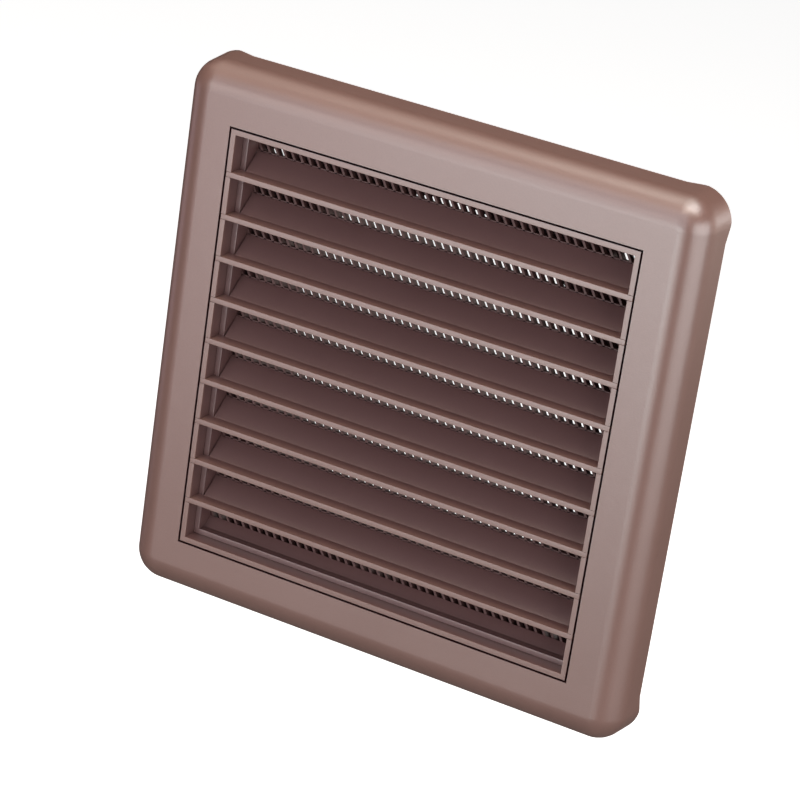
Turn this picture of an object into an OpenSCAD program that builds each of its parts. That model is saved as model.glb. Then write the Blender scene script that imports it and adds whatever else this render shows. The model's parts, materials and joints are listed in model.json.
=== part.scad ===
// Louvred wall vent for a round duct: a square cover on a wall plate with a spigot, and a grille that
// pulls out of the cover to the front. The origin is on the duct's axis, in the plane of the wall.
// X is to the right seen from the front, Z is up, and the vent faces -Y. Lengths are in millimetres.

/* [Cover] */
// Width and height of the square cover
cover_w = 140; // [136:1:160]
// Width of the cover's face on each side, from its outline to the grille's opening
face_w = 14.8; // [13.6:0.2:17]
// Depth of the cover, from the wall to its front face
cover_depth = 13.6; // [12.6:0.2:18]
// Radius of the corners of the cover's flat face
flat_r = 0.5; // [0.3:0.1:4]
// Radius of the round-over between the face and the side walls
edge_r = 7.4; // [4:0.1:8]
// Thickness of the cover's walls
cover_wall = 2; // [1.5:0.1:2.5]
// How much wider the cover is at the wall than at the end of its round-over, on each side
side_draft = 0.5; // [0:0.1:0.8]
// How far the skirt stands clear of the wall between the corner feet
skirt_relief = 1.4; // [0.5:0.1:2]
// Length of the slope between a corner foot and the relieved stretch
relief_slope = 5; // [1:0.5:6]
// How far the relieved stretch and its slopes run into the corners' arcs
relief_reach = 1.4; // [0:0.1:2.5]
// Thickness of the walls of the seat that holds the grille
seat_wall = 1.8; // [1.4:0.1:2]
// Thickness of the stiffening ribs inside the cover
rib_t = 1.2; // [1:0.1:2]
// Distance between the stiffening ribs
rib_pitch = 26; // [20:1:40]

/* [Grille] */
// Width of the dark gap all round the grille
grille_gap = 0.45; // [0.3:0.05:0.6]
// Thickness of the grille's rim
rim_wall = 1.35; // [1.2:0.05:1.6]
// Play left at the grip ribs that hold the grille in its seat
grip_play = 0.05; // [0.03:0.01:0.1]
// Height of a louvre's front bar
bar_h = 1.3; // [1:0.1:2]
// Depth of a louvre's front bar
bar_depth = 4.1; // [3:0.1:5]
// Number of louvres
louvre_count = 9; // [5:1:10]
// Slope of the vane behind each bar, in degrees
vane_angle = 42; // [30:1:45]
// Depth of the vane's back edge behind the face
vane_end = 8.9; // [8:0.1:9]
// Radius of the louvres' front edges
bar_edge_r = 0.25; // [0.1:0.05:0.4]
// Play between a bar and its notch in the rim
notch_play = 0.06; // [0.03:0.01:0.15]

/* [Screen] */
// Width of the screen frame's front ledge
ledge_w = 1.5; // [1.2:0.1:3]
// Play between the screen frame and what it sits in
screen_play = 0.1; // [0.05:0.05:0.2]
// Rise of the sill at the bottom of the screen frame
sill_rise = 2.3; // [1:0.1:3]
// Depth of the sill's slope, from front to back
sill_run = 2.6; // [1.5:0.1:3]
// Thickness of the fly net, from front to back
net_t = 2; // [1.4:0.1:2.1]
// Distance from strand to strand, measured along the sill
strand_pitch = 2.32; // [2:0.01:4]
// Width of a strand
strand_w = 0.65; // [0.4:0.05:0.8]
// Lean of the strands away from upright, in degrees
strand_lean = 31.4; // [0:0.2:40]
// How far the catches behind the net stand in from the rim
catch_h = 0.6; // [0.4:0.1:0.8]

/* [Wall plate] */
// Thickness of the plate where the cover's seat presses on it
plate_t = 2; // [1.8:0.1:2.2]
// Thickness of the plate's floor, behind the grille
floor_t = 1.4; // [1.2:0.1:1.6]
// Outer diameter of the spigot, a sliding fit in a 100 mm duct
spigot_d = 99; // [95:0.5:99.5]
// Thickness of the spigot's wall
spigot_wall = 1.2; // [1:0.1:2.5]
// Length of the spigot behind the wall plane
spigot_len = 18; // [15:1:60]
// Radius of the bell mouth where the airway enters the spigot
mouth_r = 2.4; // [1:0.1:2.6]
// Distance from the edge of the grille's opening to the middle of the screw holes
screw_inset = 7.7; // [7.3:0.1:12]
// Diameter of the screw holes
screw_hole_d = 4.6; // [4.4:0.1:5]
// Diameter of the screw holes' countersinks
sink_d = 7.2; // [6.8:0.1:7.4]
// Height of the plate's side walls, measured from the wall plane
tray_h = 7; // [6:0.5:8]
// Thickness of the plate's side walls
tray_wall = 1.5; // [1.2:0.1:2]
// Play between the plate's side walls and the cover's seat
tray_play = 0.15; // [0.1:0.05:0.3]
// How far the snap noses stand out from the cover's seat
nose_h = 0.9; // [0.6:0.1:1.2]
// Width of a snap nose
nose_w = 9; // [6:1:14]

/* [Hidden] */
$fn = 96;

brown = [0.56, 0.45, 0.43];
pale_brown = [0.63, 0.53, 0.51];
dark_brown = [0.45, 0.35, 0.33];
net_brown = [0.36, 0.30, 0.28];

// Overlap of solids that are fused with each other
fuse = 0.4;
// Reach of a cut past the surface that it opens
past = 1;

face_y = -cover_depth;
corner_r = flat_r + edge_r + side_draft;
corner_at = cover_w / 2 - corner_r;
opening_r = cover_w / 2 - face_w;
seat_r = opening_r + seat_wall;
seat_back = -plate_t;

rim_r = opening_r - grille_gap;
rim_in = rim_r - rim_wall;
rim_back = -floor_t;
grip_h = grille_gap - grip_play;
grip_w = 1.2;
grip_front = face_y + bar_depth;

louvre_pitch = (2 * rim_in + bar_h) / (louvre_count + 1);
vane_t = bar_h;
vane_rise = (vane_end - bar_depth) * tan(vane_angle);

ledge_y = face_y + bar_depth;
screen_back = face_y + vane_end + screen_play;
screen_r = rim_in - screen_play;
screen_in = rim_in - ledge_w;
net_back = screen_back + net_t;
net_r = screen_r;
catch_w = 9;
hold_at = screen_in * 0.6;

plate_r = seat_r + tray_play + tray_wall;
tray_in = seat_r + tray_play;
spigot_r = spigot_d / 2;
airway_r = spigot_r - spigot_wall;
mouth_edge_r = airway_r + mouth_r;
screw_at = opening_r - screw_inset;
lead_in = 1.2;
pad_r = sink_d / 2 + 1.6;
pad_play = 0.2;
nose_at = seat_r * 0.55;
nose_front = -tray_h + 1.4;
nose_back = -plate_t - 1.2;
window_play = 0.2;

// Turns a shape that is drawn on the right-hand side to all four sides
module four_sides() {
    for (turn = [0 : 90 : 270]) rotate([0, turn, 0]) children();
}

// Sweeps a section round a square with round corners. The section's x runs outwards from the corner
// centres, and its y is the depth towards the wall.
module round_square_ring(centre) {
    four_sides() {
        translate([centre, 0, 0]) linear_extrude(2 * centre, center = true) children();
        translate([centre, 0, -centre]) rotate([-90, 0, 0]) rotate_extrude(angle = 90) children();
    }
}

// Square ring with sharp corners, from one depth to another
module square_ring(outer, inner, from_y, to_y) {
    difference() {
        translate([-outer, from_y, -outer]) cube([2 * outer, to_y - from_y, 2 * outer]);
        translate([-inner, from_y - past, -inner]) cube([2 * inner, to_y - from_y + 2 * past, 2 * inner]);
    }
}

// Section of the cover's side, shrunk by an inset. It starts at the corner centre, or inside it.
module cover_section(inset, start = 0) {
    front = face_y + inset;
    round_r = edge_r - inset;
    round_y = face_y + edge_r;
    intersection() {
        union() {
            translate([start, front]) square([flat_r - start, -front]);
            translate([flat_r, round_y]) circle(round_r);
            polygon([[start, round_y], [flat_r + round_r, round_y],
                     [flat_r + round_r + side_draft, 0], [start, 0]]);
        }
        translate([start, front]) square([corner_r - start, -front]);
    }
}

module cover_shell_section() {
    difference() {
        cover_section(0);
        intersection() {
            cover_section(cover_wall);
            translate([0, face_y]) square([corner_r, cover_depth]);
        }
        translate([-past, -fuse]) square([corner_r - cover_wall + past, fuse + past]);
    }
}

// Takes the back edge of one side away between the corner feet
module skirt_relief_cut() {
    foot_end = corner_at + relief_reach;
    reach = cover_w / 2 - seat_r;
    translate([seat_r + cover_wall, 0, 0]) rotate([90, 0, 90]) linear_extrude(reach)
        polygon([[past, -foot_end - past], [0, -foot_end], [-skirt_relief, -foot_end + relief_slope],
                 [-skirt_relief, foot_end - relief_slope], [0, foot_end], [past, foot_end + past]]);
}

module cover_ribs() {
    rib_back = -tray_h - 0.6;
    count = floor(corner_at / rib_pitch);
    for (i = [-count : count])
        translate([corner_at, 0, i * rib_pitch]) linear_extrude(rib_t, center = true)
            intersection() {
                cover_section(cover_wall / 2, seat_r - corner_at - fuse);
                translate([-corner_at, face_y]) square([corner_at + corner_r, rib_back - face_y]);
            }
}

module snap_noses() {
    for (side = [-1, 1])
        translate([0, 0, side * nose_at]) linear_extrude(nose_w, center = true)
            polygon([[seat_r - fuse, nose_front], [seat_r + nose_h, nose_front],
                     [seat_r, nose_back], [seat_r - fuse, nose_back]]);
}

module cover() {
    color(brown) {
        difference() {
            round_square_ring(corner_at) cover_shell_section();
            four_sides() skirt_relief_cut();
        }
        square_ring(corner_at, opening_r, face_y, face_y + cover_wall);
        square_ring(seat_r, opening_r, face_y + cover_wall - fuse, seat_back);
        four_sides() {
            cover_ribs();
            snap_noses();
        }
    }
}

// Section of the spigot: x is the radius, y is the depth. It starts at the plate with a bell mouth and
// ends with a lead-in chamfer.
module spigot_section() {
    difference() {
        polygon([[airway_r, -floor_t], [mouth_edge_r + fuse, -floor_t], [mouth_edge_r + fuse, 0],
                 [spigot_r, 0], [spigot_r, spigot_len - lead_in], [spigot_r - lead_in / 2, spigot_len],
                 [airway_r, spigot_len]]);
        difference() {
            translate([airway_r, -floor_t]) square(mouth_r);
            translate([mouth_edge_r, mouth_r - floor_t]) circle(mouth_r);
        }
    }
}

module at_screws() {
    for (x = [-1, 1], z = [-1, 1])
        translate([x * screw_at, 0, z * screw_at]) rotate([-90, 0, 0]) children();
}

module screw_hole() {
    sink_depth = (sink_d - screw_hole_d) / 2;
    pad_front = net_back + pad_play;
    translate([0, 0, pad_front - past]) cylinder(d = screw_hole_d, h = 2 * past - pad_front);
    translate([0, 0, pad_front]) cylinder(d1 = sink_d, d2 = screw_hole_d, h = sink_depth);
}

module screw_pad() {
    pad_front = net_back + pad_play;
    translate([0, 0, pad_front]) cylinder(r = pad_r, h = fuse - floor_t - pad_front);
}

module snap_windows() {
    for (side = [-1, 1])
        translate([tray_in - past, nose_front - window_play, side * nose_at - nose_w / 2 - window_play])
            cube([tray_wall + 2 * past, nose_back - nose_front + 2 * window_play,
                  nose_w + 2 * window_play]);
}

// The plate, with a shallow pocket that the grille's rim reaches down into
module pocketed_plate() {
    difference() {
        translate([-plate_r, -plate_t, -plate_r]) cube([2 * plate_r, plate_t, 2 * plate_r]);
        translate([-opening_r, -plate_t - past, -opening_r])
            cube([2 * opening_r, plate_t - floor_t + past, 2 * opening_r]);
        rotate([-90, 0, 0]) translate([0, 0, -plate_t - past])
            cylinder(r = mouth_edge_r, h = plate_t + 2 * past);
    }
}

module wall_plate() {
    color(dark_brown) difference() {
        union() {
            pocketed_plate();
            square_ring(plate_r, tray_in, -tray_h, -plate_t + fuse);
            rotate([-90, 0, 0]) rotate_extrude() spigot_section();
            at_screws() screw_pad();
        }
        four_sides() snap_windows();
        at_screws() screw_hole();
    }
}

module bar_notches() {
    for (i = [1 : louvre_count], side = [-1, 1])
        translate([side * (rim_r - rim_wall / 2) - rim_wall, face_y - past,
                   louvre_z(i) - bar_h / 2 - notch_play])
            cube([2 * rim_wall, bar_depth + past, bar_h + 2 * notch_play]);
}

module grip_ribs() {
    for (i = [-1 : 1])
        translate([rim_r - fuse, grip_front, i * hold_at - grip_w / 2])
            cube([fuse + grip_h, rim_back - grip_front, grip_w]);
}

module screen_catches() {
    for (side = [-1, 1])
        translate([0, 0, side * hold_at]) linear_extrude(catch_w, center = true)
            polygon([[rim_in + fuse, net_back], [rim_in - catch_h, net_back],
                     [rim_in, rim_back], [rim_in + fuse, rim_back]]);
}

module grille_frame() {
    color(pale_brown) {
        difference() {
            square_ring(rim_r, rim_in, face_y, rim_back);
            bar_notches();
        }
        four_sides() {
            grip_ribs();
            screen_catches();
        }
    }
}

// Height of a louvre's bar above the duct's axis, counted from the bottom
function louvre_z(i) = (i - (louvre_count + 1) / 2) * louvre_pitch;

// Section of a louvre: x is the depth behind the face, y is the height
module bar_section() {
    r = bar_edge_r;
    translate([r, -bar_h / 2]) square([bar_depth - r, bar_h]);
    translate([0, r - bar_h / 2]) square([bar_depth, bar_h - 2 * r]);
    for (side = [-1, 1]) translate([r, side * (bar_h / 2 - r)]) circle(r);
}

module vane_section() {
    // The underside runs parallel to the top, one thickness below it
    drop = vane_t / cos(vane_angle);
    bend = bar_depth + (drop - bar_h) / tan(vane_angle);
    polygon([[bar_depth - fuse, -bar_h / 2], [bar_depth - fuse, bar_h / 2], [bar_depth, bar_h / 2],
             [vane_end, bar_h / 2 + vane_rise], [vane_end, bar_h / 2 + vane_rise - drop],
             [bend, -bar_h / 2]]);
}

module louvre(i) {
    bar_len = 2 * (rim_r - notch_play);
    vane_len = 2 * (screen_in - screen_play);
    color(pale_brown) translate([0, face_y, louvre_z(i)]) rotate([90, 0, 90]) {
        linear_extrude(bar_len, center = true) bar_section();
        linear_extrude(vane_len, center = true) vane_section();
    }
}

module sill() {
    sill_len = 2 * screen_in + 2 * fuse;
    rotate([90, 0, 90]) linear_extrude(sill_len, center = true)
        polygon([[screen_back - sill_run, -screen_in], [screen_back, -screen_in + sill_rise],
                 [screen_back, -screen_in - fuse], [screen_back - sill_run, -screen_in - fuse]]);
}

module screen_frame() {
    color(brown) {
        square_ring(screen_r, screen_in, ledge_y, screen_back);
        sill();
    }
}

// Strands that lean to the left as they rise, cut off inside the border
module strands() {
    reach = 2 * screen_in;
    half_count = ceil((screen_in + reach / 2 * tan(strand_lean)) / strand_pitch);
    intersection() {
        square(2 * (screen_in + fuse), center = true);
        for (i = [-half_count : half_count])
            translate([i * strand_pitch, 0]) rotate(strand_lean)
                square([strand_w, 2 * reach], center = true);
    }
}

module fly_net() {
    color(net_brown) translate([0, net_back, 0]) rotate([90, 0, 0]) linear_extrude(net_t) {
        difference() {
            square(2 * net_r, center = true);
            square(2 * screen_in, center = true);
        }
        strands();
    }
}

cover();
wall_plate();
grille_frame();
for (i = [1 : louvre_count])
    louvre(i);
screen_frame();
fly_net();
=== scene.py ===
"""Louvred wall vent: its finish, its net and its softened edges, a soft studio light and the camera.

The frame holds the vent in metres: X to the right, Y into the wall, Z up. Its front faces -Y.
"""
import json
import math

import bmesh
import bpy
from mathutils import Euler, Matrix, Vector


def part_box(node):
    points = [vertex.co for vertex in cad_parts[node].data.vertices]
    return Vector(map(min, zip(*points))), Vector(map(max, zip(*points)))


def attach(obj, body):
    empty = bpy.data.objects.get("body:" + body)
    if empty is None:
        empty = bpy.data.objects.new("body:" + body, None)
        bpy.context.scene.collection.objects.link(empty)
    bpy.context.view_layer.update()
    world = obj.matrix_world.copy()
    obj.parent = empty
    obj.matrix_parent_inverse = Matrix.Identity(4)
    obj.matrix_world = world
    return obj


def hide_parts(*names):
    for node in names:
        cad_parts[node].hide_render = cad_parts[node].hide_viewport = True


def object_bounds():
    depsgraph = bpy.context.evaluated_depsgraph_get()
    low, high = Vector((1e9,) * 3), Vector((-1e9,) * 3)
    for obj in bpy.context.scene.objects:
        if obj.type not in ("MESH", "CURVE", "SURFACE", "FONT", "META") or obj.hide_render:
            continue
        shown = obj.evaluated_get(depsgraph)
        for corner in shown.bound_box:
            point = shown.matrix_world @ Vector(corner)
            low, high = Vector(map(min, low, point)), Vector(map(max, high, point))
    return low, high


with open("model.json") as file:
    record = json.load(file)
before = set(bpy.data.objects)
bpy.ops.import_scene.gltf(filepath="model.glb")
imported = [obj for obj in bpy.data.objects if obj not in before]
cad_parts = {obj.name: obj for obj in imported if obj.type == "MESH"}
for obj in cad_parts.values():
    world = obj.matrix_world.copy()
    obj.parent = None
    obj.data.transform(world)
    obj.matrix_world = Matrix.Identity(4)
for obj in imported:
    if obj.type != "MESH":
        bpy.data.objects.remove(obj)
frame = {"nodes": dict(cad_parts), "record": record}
cad_low, cad_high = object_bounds()

MM = 0.001
# A distance past any part of the vent
FAR = 1.0

# Louvre, and the wall of the screen frame, whose window its vane passes with some play
BAR_HEIGHT = 1.3 * MM
BAR_DEPTH = 4.1 * MM
VANE_THICKNESS = 1.3 * MM
VANE_SLOPE = math.radians(42)
VANE_PLAY = 0.2 * MM
SCREEN_WALL = 1.4 * MM

# Net. Its strands stay a little inside its front and back, and run a little way into its border
NET_BORDER = 1.5 * MM
STRAND_SINK = 0.05 * MM
STRAND_ROOT = 0.4 * MM

# Strands that lean
STRAND_PITCH = 2.32 * MM
STRAND_WIDTH = 0.62 * MM
STRAND_LEAN = math.radians(31.4)
STRAND_SHIFT = Vector((-0.23 * MM, 0, 0))

# Strands that lie level. One in five peeks over each vane, and the first is just below the lowest louvre
LEVEL_STRAND_HEIGHT = 0.45 * MM
LEVEL_STRAND_DEPTH = 1.0 * MM
LEVEL_STRANDS_PER_LOUVRE = 5
LEVEL_STRAND_PEEK = 0.28 * MM
LEVEL_STRAND_DROP = 4.1 * MM

# How wide the crisp edges of each piece are rounded, and how sharp a crisp edge and a smooth one are
COVER_EDGE = 0.14 * MM
RIM_EDGE = 0.08 * MM
BLADE_EDGE = 0.08 * MM
LEDGE_EDGE = 0.14 * MM
PLATE_EDGE = 0.14 * MM
STRAND_EDGE = 0.06 * MM
CRISP_ANGLE = math.radians(50)
SMOOTH_ANGLE = math.radians(35)

# Choosing parts of a mesh: by how squarely a face looks along an axis, and by place with some slack
SQUARE_ON = 0.9
SLACK = 0.1 * MM

# Points of a solid this near are one point, and triangles this flat make one face
MERGE_DISTANCE = 0.0005 * MM
FLAT_ANGLE = math.radians(0.4)

# Colours as a screen shows them, 0 to 255
BROWN = (118, 88, 80)
# The wall plate's brown is darker than the cover's, painted shade for the dark behind the net
PLATE_BROWN = (68, 42, 39)
NET_BROWN = (92, 65, 63)
# Painted shade: the dark brown of the narrow gap round the grille and of the wall plate's front
PAINTED_GAP_SHADE = (50, 9, 7)

# Moulded plastic
CLOUD_SIZE = 18 * MM
SPECKLE_SIZE = 0.45 * MM
GRAIN_SIZE = 0.38 * MM
GRAIN_HEIGHT = 0.03 * MM
DEEPER = 0.88
PALER = 1.11
ROUGHNESS_SPREAD = 0.04
PLASTIC_IOR = 1.6
SATIN = 0.31

# Painted shade in the gap round the grille: the gap's width, the play at the grip ribs in it, and how far the
# painted shade runs past its two edges
GRILLE_GAP = 0.45 * MM
GRIP_PLAY = 0.05 * MM
OPENING_SHADE = 0.06 * MM
RIM_SHADE = 0.1 * MM

# Painted shade: the wall plate is dark in front of this depth, which is just behind the front of its floor
PLATE_SHADE = -1.3 * MM

# Painted shade inside the grille: its darker tint, and how far behind the face it starts and is complete
INNER_SHADE_TINT = (0.8, 0.75, 0.87, 1)
INNER_SHADE_START = 0.4 * MM
INNER_SHADE_END = 3 * MM
# On the rim the painted shade is darker and complete sooner
RIM_INNER_SHADE_TINT = (0.66, 0.6, 0.68, 1)
RIM_INNER_SHADE_END = 0.7 * MM

# Camera: its focal length and place in millimetres, and its turn in degrees
LENS = 141.06
CAMERA_PLACE = (300.7, -645.7, 275.4)
CAMERA_TURN = (68.38, -8.025, 28.573)

# Studio. Lengths are in metres
SOFTBOX_DISTANCE = 1.4
ROOM_LIGHT = 0.03
WHITE = (1, 1, 1, 1)
FLOOR_DROP = 0.47
FLOOR_SIZE = 6
FLOOR_SEEN = (0.8, 0.8, 0.8, 1)
FLOOR_GLOW = 0.85
FLOOR_REFLECTED = (0.12, 0.12, 0.12, 1)

LOUVRES = sorted((n for n in frame["nodes"] if n.startswith("louvre_")), key=lambda n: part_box(n)[0].z)
BODY_OF = {n: body for body, nodes in frame["record"]["behaviour"]["bodies"].items() for n in nodes}


def deselect():
    if bpy.context.mode != "OBJECT":
        bpy.ops.object.mode_set(mode="OBJECT")
    bpy.ops.object.select_all(action="DESELECT")


def activate(obj):
    deselect()
    obj.select_set(True)
    bpy.context.view_layer.objects.active = obj


def edit(obj):
    activate(obj)
    bpy.ops.object.mode_set(mode="EDIT")


def pick(obj, kind, test):
    """Selects the verts, edges or faces that pass the test, and nothing else.

    The test gets the middle, and also the turn across an edge or the normal of a face.
    """
    bpy.ops.mesh.select_mode(type={"verts": "VERT", "edges": "EDGE", "faces": "FACE"}[kind])
    bpy.ops.mesh.select_all(action="DESELECT")
    mesh = bmesh.from_edit_mesh(obj.data)
    for item in getattr(mesh, kind):
        if kind == "verts":
            chosen = test(item.co)
        elif kind == "edges":
            chosen = test((item.verts[0].co + item.verts[1].co) / 2, item.calc_face_angle(0))
        else:
            chosen = test(item.calc_center_median(), item.normal)
        item.select_set(bool(chosen))
    mesh.select_flush_mode()
    bmesh.update_edit_mesh(obj.data)


def apply_place(obj):
    activate(obj)
    bpy.ops.object.transform_apply(location=True, rotation=True, scale=True)
    return obj


def block(name, low, high):
    """A box between two corners, to be shaped further."""
    deselect()
    bpy.ops.mesh.primitive_cube_add(size=1, location=(low + high) / 2)
    obj = bpy.context.active_object
    obj.name = name
    obj.scale = high - low
    return apply_place(obj)


def copy_of(model, name, step):
    """A copy with a mesh of its own, moved by the step."""
    copy = bpy.data.objects.new(name, model.data.copy())
    copy.data.transform(Matrix.Translation(step))
    bpy.context.scene.collection.objects.link(copy)
    return copy


def join(pieces, name):
    deselect()
    for piece in pieces:
        piece.select_set(True)
    bpy.context.view_layer.objects.active = pieces[0]
    bpy.ops.object.join()
    pieces[0].name = name
    return pieces[0]


def row_of(model, name, steps):
    """Copies of one model at each step, joined to it."""
    return join([model] + [copy_of(model, name, step) for step in steps], name)


def trim(obj, reach):
    """Cuts away what stands out of an upright square round the axis, and closes the cuts."""
    edit(obj)
    for outward in ((1, 0, 0), (-1, 0, 0), (0, 0, 1), (0, 0, -1)):
        bpy.ops.mesh.select_all(action="SELECT")
        bpy.ops.mesh.bisect(plane_co=Vector(outward) * reach, plane_no=outward, use_fill=True,
                            clear_outer=True)
    bpy.ops.object.mode_set(mode="OBJECT")
    return obj


def even_shading(obj):
    """Smooth over small angles, with the large flat faces kept flat up to their edges."""
    activate(obj)
    bpy.ops.object.shade_smooth_by_angle(angle=SMOOTH_ANGLE)
    weights = obj.modifiers.new("even shading", "WEIGHTED_NORMAL")
    weights.mode = "FACE_AREA"
    weights.keep_sharp = True
    # The most that the modifier allows, so that the largest face decides
    weights.weight = 100
    bpy.ops.object.modifier_apply(modifier=weights.name)
    return obj


def soften(obj, width, segments=2):
    """Rounds every crisp edge as the mould leaves it."""
    activate(obj)
    bevel = obj.modifiers.new("mould edge", "BEVEL")
    bevel.width = width
    bevel.segments = segments
    bevel.limit_method = "ANGLE"
    bevel.angle_limit = CRISP_ANGLE
    bevel.use_clamp_overlap = True
    bpy.ops.object.modifier_apply(modifier=bevel.name)
    return even_shading(obj)


def dress(obj, node, material):
    """The piece takes the node's place on its body."""
    obj.data.materials.clear()
    obj.data.materials.append(material)
    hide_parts(node)
    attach(obj, BODY_OF[node])


def moulding_from(node, name):
    """A copy of a node's solid with its loose triangles merged into whole faces."""
    source = frame["nodes"][node]
    obj = bpy.data.objects.new(name, source.data.copy())
    bpy.context.scene.collection.objects.link(obj)
    activate(obj)
    if obj.data.has_custom_normals:
        bpy.ops.mesh.customdata_custom_splitnormals_clear()
    edit(obj)
    bpy.ops.mesh.select_all(action="SELECT")
    bpy.ops.mesh.remove_doubles(threshold=MERGE_DISTANCE)
    bpy.ops.mesh.select_all(action="SELECT")
    bpy.ops.mesh.dissolve_limited(angle_limit=FLAT_ANGLE)
    bpy.ops.object.mode_set(mode="OBJECT")
    return obj


def model_louvre(node):
    """A flat bar, with a narrower vane drawn out of its back and turned up."""
    low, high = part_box(node)
    vane_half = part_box("screen_frame")[1].x - (SCREEN_WALL + VANE_PLAY)
    blade = block("blade", low, Vector((high.x, low.y + BAR_DEPTH, low.z + BAR_HEIGHT)))
    edit(blade)
    for side in (-1, 1):
        bpy.ops.mesh.select_all(action="SELECT")
        bpy.ops.mesh.bisect(plane_co=(side * vane_half, 0, 0), plane_no=(1, 0, 0))
    pick(blade, "faces", lambda c, n: n.y > SQUARE_ON and abs(c.x) < vane_half)
    rise = high.z - low.z - BAR_HEIGHT
    run = high.y - low.y - BAR_DEPTH
    bpy.ops.mesh.extrude_region_move(TRANSFORM_OT_translate={"value": (0, run, rise)})
    # The vane's end is as tall as its thickness cut upright
    drop = VANE_THICKNESS / math.cos(VANE_SLOPE)
    pick(blade, "verts", lambda c: c.y > high.y - SLACK and c.z < high.z - SLACK)
    bpy.ops.transform.translate(value=(0, 0, BAR_HEIGHT - drop))
    bpy.ops.object.mode_set(mode="OBJECT")
    return soften(blade, BLADE_EDGE)


def lay_louvres(material):
    """Models the lowest louvre once, and copies it up the grille."""
    model = model_louvre(LOUVRES[0])
    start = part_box(LOUVRES[0])[0]
    for louvre in LOUVRES:
        blade = copy_of(model, louvre + "_blade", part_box(louvre)[0] - start)
        dress(blade, louvre, material)
    bpy.data.objects.remove(model)


def model_screen():
    """The screen frame. Only the edges of its window are rounded, and its outer edges stay crisp."""
    surround = moulding_from("screen_frame", "screen_surround")
    mid_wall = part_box("screen_frame")[1].x - SCREEN_WALL / 2
    edit(surround)
    pick(surround, "edges", lambda c, turn: turn > CRISP_ANGLE and max(abs(c.x), abs(c.z)) < mid_wall)
    bpy.ops.mesh.bevel(offset=LEDGE_EDGE, segments=2, affect="EDGES")
    bpy.ops.object.mode_set(mode="OBJECT")
    return even_shading(surround)


def model_border(low, high, window):
    """The net's flat border, open where its window is."""
    border = block("net_border", low, high)
    edit(border)
    pick(border, "faces", lambda c, n: abs(n.y) > SQUARE_ON)
    bpy.ops.mesh.inset(thickness=NET_BORDER, depth=0)
    pick(border, "faces", lambda c, n: abs(n.y) > SQUARE_ON and max(abs(c.x), abs(c.z)) < window / 2)
    bpy.ops.mesh.bridge_edge_loops()
    bpy.ops.object.mode_set(mode="OBJECT")
    return border


def model_leaning_strands(low, high, window):
    """Strands nearly as deep as the net. Each starts too long, and is cut off inside the border."""
    middle = (low + high) / 2 + STRAND_SHIFT
    half = Vector((STRAND_WIDTH / 2, (high.y - low.y) / 2 - STRAND_SINK, 3 * window))
    strand = block("leaning_strand", middle - half, middle + half)
    soften(strand, STRAND_EDGE, segments=1)
    activate(strand)
    bpy.ops.transform.rotate(value=STRAND_LEAN, orient_axis="Y", center_override=middle)
    apply_place(strand)
    to_each_side = math.ceil(window * (1 + math.tan(STRAND_LEAN)) / STRAND_PITCH)
    steps = [Vector((i * STRAND_PITCH, 0, 0)) for i in range(-to_each_side, to_each_side + 1) if i]
    return trim(row_of(strand, "leaning_strands", steps), window + STRAND_ROOT)


def model_level_strands(low, window):
    """Thin strands across the net's front, from just below the lowest louvre to the top of the window."""
    vane_tops = [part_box(n)[1].z for n in LOUVRES]
    pitch = (vane_tops[1] - vane_tops[0]) / LEVEL_STRANDS_PER_LOUVRE
    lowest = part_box(LOUVRES[0])[0].z - LEVEL_STRAND_DROP
    top = vane_tops[0] + LEVEL_STRAND_PEEK
    top -= math.floor((top - lowest) / pitch) * pitch
    reach = window + STRAND_ROOT
    front = low.y + STRAND_SINK
    strand = block("level_strand", Vector((-reach, front, top - LEVEL_STRAND_HEIGHT)),
                   Vector((reach, front + LEVEL_STRAND_DEPTH, top)))
    soften(strand, STRAND_EDGE, segments=1)
    count = int((window - top) / pitch)
    return row_of(strand, "level_strands", [Vector((0, 0, i * pitch)) for i in range(1, count + 1)])


def model_net():
    """A flat border, deep strands that lean to the left, and level strands welded to their front."""
    low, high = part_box("fly_net")
    window = high.x - NET_BORDER
    border = model_border(low, high, window)
    leaning = model_leaning_strands(low, high, window)
    level = model_level_strands(low, window)
    return even_shading(join([border, leaning, level], "fly_net_mesh"))


class Value:
    """A socket that Python's operators turn into Math nodes."""

    def __init__(self, nodes, socket):
        self.nodes = nodes
        self.socket = socket

    def __add__(self, other):
        return self.nodes.math("ADD", self, other)

    def __sub__(self, other):
        return self.nodes.math("SUBTRACT", self, other)

    def __rsub__(self, other):
        return self.nodes.math("SUBTRACT", other, self)

    def __mul__(self, other):
        return self.nodes.math("MULTIPLY", self, other)

    def __gt__(self, other):
        return self.nodes.math("GREATER_THAN", self, other)

    def __lt__(self, other):
        return self.nodes.math("LESS_THAN", self, other)

    def __abs__(self):
        return self.nodes.math("ABSOLUTE", self)

    __radd__ = __add__
    __rmul__ = __mul__


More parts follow.
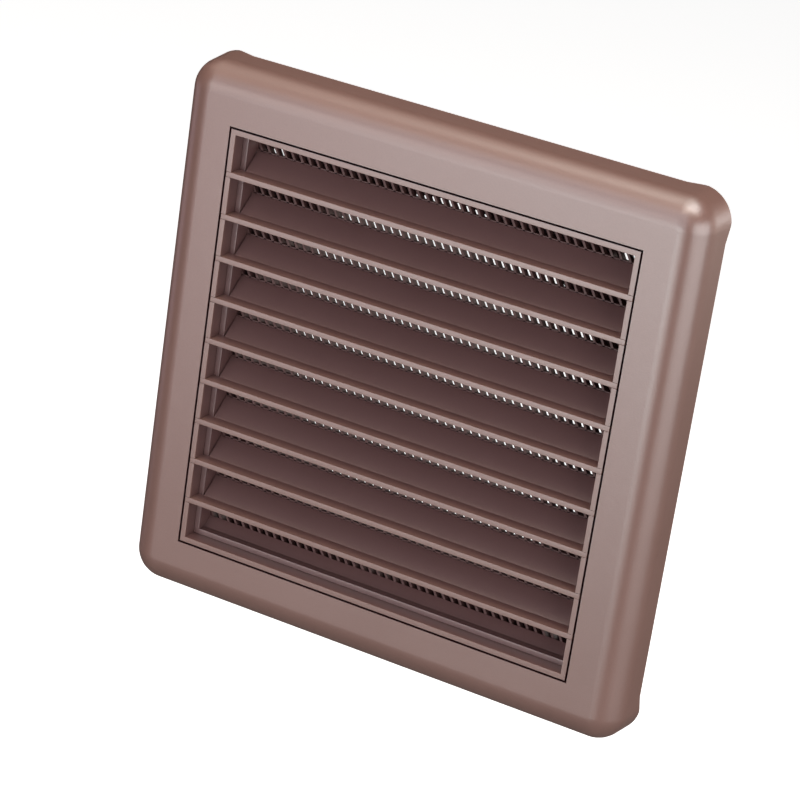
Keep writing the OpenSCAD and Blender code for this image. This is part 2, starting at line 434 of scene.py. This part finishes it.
class Nodes:
    """The nodes of one material, or of the world."""

    def __init__(self, owner):
        owner.use_nodes = True
        self.tree = owner.node_tree
        self.tree.nodes.clear()

    def node(self, kind, settings=None, sockets=None, out=0):
        """Adds a node: its settings first, then its sockets by name or number. Gives one output, if any."""
        node = self.tree.nodes.new("ShaderNode" + kind)
        for name, setting in (settings or {}).items():
            setattr(node, name, setting)
        for name, given in (sockets or {}).items():
            if isinstance(given, Value):
                self.tree.links.new(given.socket, node.inputs[name])
            else:
                node.inputs[name].default_value = given
        return Value(self, node.outputs[out]) if node.outputs else None

    def math(self, operation, *terms):
        return self.node("Math", {"operation": operation}, dict(enumerate(terms)))

    def mix(self, factor, first, second, blend="MIX"):
        return self.node("Mix", {"data_type": "RGBA", "blend_type": blend, "clamp_factor": True},
                         {0: factor, 6: first, 7: second}, out=2)

    def noise(self, where, size, detail, roughness=0.5):
        """Noise from 0 to 1, whose features are about as large as the size, in metres."""
        return self.node("TexNoise", sockets={"Vector": where, "Scale": 1 / size, "Detail": detail,
                                              "Roughness": roughness})

    def parts(self, where):
        """The three parts of a place: across, into the wall and up."""
        parted = self.node("SeparateXYZ", sockets={"Vector": where})
        return [Value(self, socket) for socket in parted.socket.node.outputs]

    def ring(self, where, inner, outer, front, back):
        """1 on what lies between two squares round the axis and between two depths, else 0."""
        across, depth, up = self.parts(where)
        reach = self.math("MAXIMUM", abs(across), abs(up))
        return (reach > inner) * (reach < outer) * (depth > front) * (depth < back)


def linear(colour, brightness=1.0):
    """A colour as a screen shows it, made linear for the shader, and deeper or paler by the brightness."""
    def channel(value):
        part = value / 255
        return part / 12.92 if part <= 0.04045 else ((part + 0.055) / 1.055) ** 2.4
    return [channel(value) * brightness for value in colour] + [1]


def moulded_plastic(name, colour, roughness, grain=0.7, specular=1.0, gap_shade=None, shade_depths=None,
                    shade_tint=INNER_SHADE_TINT):
    """Mauve-brown plastic: cloudy colour, a fine spark-eroded grain and a satin sheen.

    The gap shade says where the piece closes a narrow gap that is painted dark as shade, by two squares round
    the axis and two depths.
    Shade depths gives the two depths between which the colour fades into a darker tint inside the grille,
    which is painted shade.
    """
    material = bpy.data.materials.new(name)
    nodes = Nodes(material)
    where = nodes.node("TexCoord", out="Object")
    clouds = nodes.noise(where, CLOUD_SIZE, detail=3)
    speckle = nodes.noise(where, SPECKLE_SIZE, detail=1)
    texture = nodes.noise(where, GRAIN_SIZE, detail=2, roughness=0.6)

    shown = nodes.mix(0.4 * clouds + 0.6 * speckle, linear(colour, DEEPER), linear(colour, PALER))
    # Painted shade: the colour takes a darker tint with depth inside the grille
    if shade_depths:
        start, end = shade_depths
        fade = (nodes.parts(where)[1] - start) * (1 / (end - start))
        shown = nodes.mix(fade, shown, shade_tint, blend="MULTIPLY")
    # Painted shade: the narrow gaps turn dark brown
    if gap_shade:
        shown = nodes.mix(nodes.ring(where, *gap_shade), shown, linear(PAINTED_GAP_SHADE))

    normal = nodes.node("Bump", out="Normal", sockets={
        "Strength": grain, "Distance": GRAIN_HEIGHT, "Height": texture})
    shader = nodes.node("BsdfPrincipled", sockets={
        "Base Color": shown, "Roughness": roughness + ROUGHNESS_SPREAD * (clouds + texture - 1),
        "Normal": normal, "Specular IOR Level": specular, "IOR": PLASTIC_IOR})
    nodes.node("OutputMaterial", sockets={"Surface": shader})
    return material


def pale_floor():
    """A pale floor. It takes the vent's shadow, looks white where it is lit, and throws little light back."""
    material = bpy.data.materials.new("pale_floor")
    nodes = Nodes(material)
    pale = nodes.node("BsdfDiffuse", sockets={"Color": FLOOR_SEEN})
    glow = nodes.node("Emission", sockets={"Strength": FLOOR_GLOW})
    lit = nodes.node("AddShader", sockets={0: pale, 1: glow})
    dull = nodes.node("BsdfDiffuse", sockets={"Color": FLOOR_REFLECTED})
    seen = nodes.node("LightPath", out="Is Camera Ray")
    shader = nodes.node("MixShader", sockets={0: seen, 1: dull, 2: lit})
    nodes.node("OutputMaterial", sockets={"Surface": shader})
    return material


def lay_floor():
    deselect()
    bpy.ops.mesh.primitive_plane_add(size=FLOOR_SIZE, location=(0, 0, cad_low.z - FLOOR_DROP))
    floor = bpy.context.active_object
    floor.name = "floor"
    apply_place(floor)
    floor.data.materials.append(pale_floor())


def make_camera():
    """The photograph's place and roll: to the right of the vent, above it, and turned clockwise."""
    data = bpy.data.cameras.new("photo_camera")
    data.lens = LENS
    data.clip_start = 10 * MM
    camera = bpy.data.objects.new("photo_camera", data)
    camera.location = Vector(CAMERA_PLACE) * MM
    camera.rotation_euler = Euler([math.radians(a) for a in CAMERA_TURN])
    bpy.context.scene.collection.objects.link(camera)
    bpy.context.scene.camera = camera


def softbox(name, azimuth, elevation, across, upright, radiance, tint=(1, 1, 1)):
    """A rectangular lamp that looks at the vent. Azimuth 0 is straight in front of it and 90 is at its right.

    The two sizes are the angles that it fills, seen from the vent.
    """
    data = bpy.data.lights.new(name, "AREA")
    data.shape = "RECTANGLE"
    data.size = 2 * SOFTBOX_DISTANCE * math.tan(math.radians(across) / 2)
    data.size_y = 2 * SOFTBOX_DISTANCE * math.tan(math.radians(upright) / 2)
    data.energy = radiance * math.pi * data.size * data.size_y
    data.color = tint
    lamp = bpy.data.objects.new(name, data)
    turn, rise = math.radians(azimuth), math.radians(elevation)
    way = Vector((math.sin(turn) * math.cos(rise), -math.cos(turn) * math.cos(rise), math.sin(rise)))
    lamp.location = way * SOFTBOX_DISTANCE
    lamp.rotation_euler = Euler((math.pi / 2 - rise, 0, turn))
    lamp.visible_camera = False
    bpy.context.scene.collection.objects.link(lamp)


def hang_lamps():
    softbox("top", 60, 88, 40, 40, 2.0, tint=(1.05, 1.05, 0.95))
    softbox("high_front", 30, 64, 48, 24, 2.8, tint=(1.1, 1.0, 0.9))
    softbox("high_left", -60, 64, 70, 50, 0.65, tint=(1.2, 0.95, 0.8))
    softbox("front", -8, 24, 50, 50, 1.25, tint=(0.9, 1.0, 1.1))
    softbox("front_left", -30, 12, 28, 22, 1.55, tint=(1.1, 0.95, 0.9))
    softbox("low_left", -30, -12, 28, 20, 0.9, tint=(1.2, 0.85, 0.9))
    softbox("low_front", 0, -12, 28, 20, 2.5)
    softbox("low_middle", -14, -10, 32, 20, 2.5, tint=(0.95, 1.05, 1.05))
    softbox("left", -90, -12, 28, 20, 0.5, tint=(1.15, 0.85, 1.0))
    softbox("right", 71, 2, 58, 40, 3.3)
    softbox("corner_high", 65, 72, 30, 30, 3.0)
    softbox("corner_back", 141, 6, 14, 16, 2.0)
    softbox("back_right", 135, 4, 56, 40, 0.85, tint=(1.15, 0.95, 0.85))
    softbox("back", 185, 0, 50, 36, 0.3)


def light_room():
    """A faint even light from all round. The camera sees plain white there."""
    world = bpy.data.worlds.new("studio")
    bpy.context.scene.world = world
    nodes = Nodes(world)
    room = nodes.node("Background", sockets={"Color": WHITE, "Strength": ROOM_LIGHT})
    white = nodes.node("Background", sockets={"Color": WHITE, "Strength": 1})
    seen = nodes.node("LightPath", out="Is Camera Ray")
    shader = nodes.node("MixShader", sockets={0: seen, 1: room, 2: white})
    nodes.node("OutputWorld", sockets={"Surface": shader})


bpy.context.scene.view_settings.view_transform = "Standard"
make_camera()
hang_lamps()
light_room()
lay_floor()

# The grille's grip ribs end just short of the sides of the cover's opening
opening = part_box("grille_frame")[1].x + GRIP_PLAY
face = cad_low.y
# Painted shade inside the grille starts and is complete at these depths
inside = (face + INNER_SHADE_START, face + INNER_SHADE_END)
# Painted shade: the cover's opening, the rim's outer side and the wall plate's front turn dark brown
cover_plastic = moulded_plastic("cover_plastic", BROWN, SATIN,
                                gap_shade=(0, opening + OPENING_SHADE, -FAR, 0))
grille_plastic = moulded_plastic("grille_plastic", BROWN, SATIN, grain=0.4,
                                 gap_shade=(opening - GRILLE_GAP - RIM_SHADE, FAR, -FAR, 0),
                                 shade_depths=(face + RIM_EDGE, face + RIM_INNER_SHADE_END), shade_tint=RIM_INNER_SHADE_TINT)
louvre_plastic = moulded_plastic("louvre_plastic", BROWN, SATIN, grain=0.4, shade_depths=inside)
screen_plastic = moulded_plastic("screen_plastic", BROWN, SATIN, grain=0.15, shade_depths=inside)
plate_plastic = moulded_plastic("plate_plastic", PLATE_BROWN, 0.45, specular=0.3,
                                gap_shade=(0, FAR, -FAR, PLATE_SHADE))
net_plastic = moulded_plastic("net_plastic", NET_BROWN, 0.4, grain=0.1, specular=0.2)

lay_louvres(louvre_plastic)
dress(model_net(), "fly_net", net_plastic)
dress(soften(moulding_from("grille_frame", "grille_rim"), RIM_EDGE), "grille_frame", grille_plastic)
dress(model_screen(), "screen_frame", screen_plastic)
dress(soften(moulding_from("wall_plate", "plate_and_spigot"), PLATE_EDGE), "wall_plate", plate_plastic)
dress(soften(moulding_from("cover", "cover_moulding"), COVER_EDGE), "cover", cover_plastic)
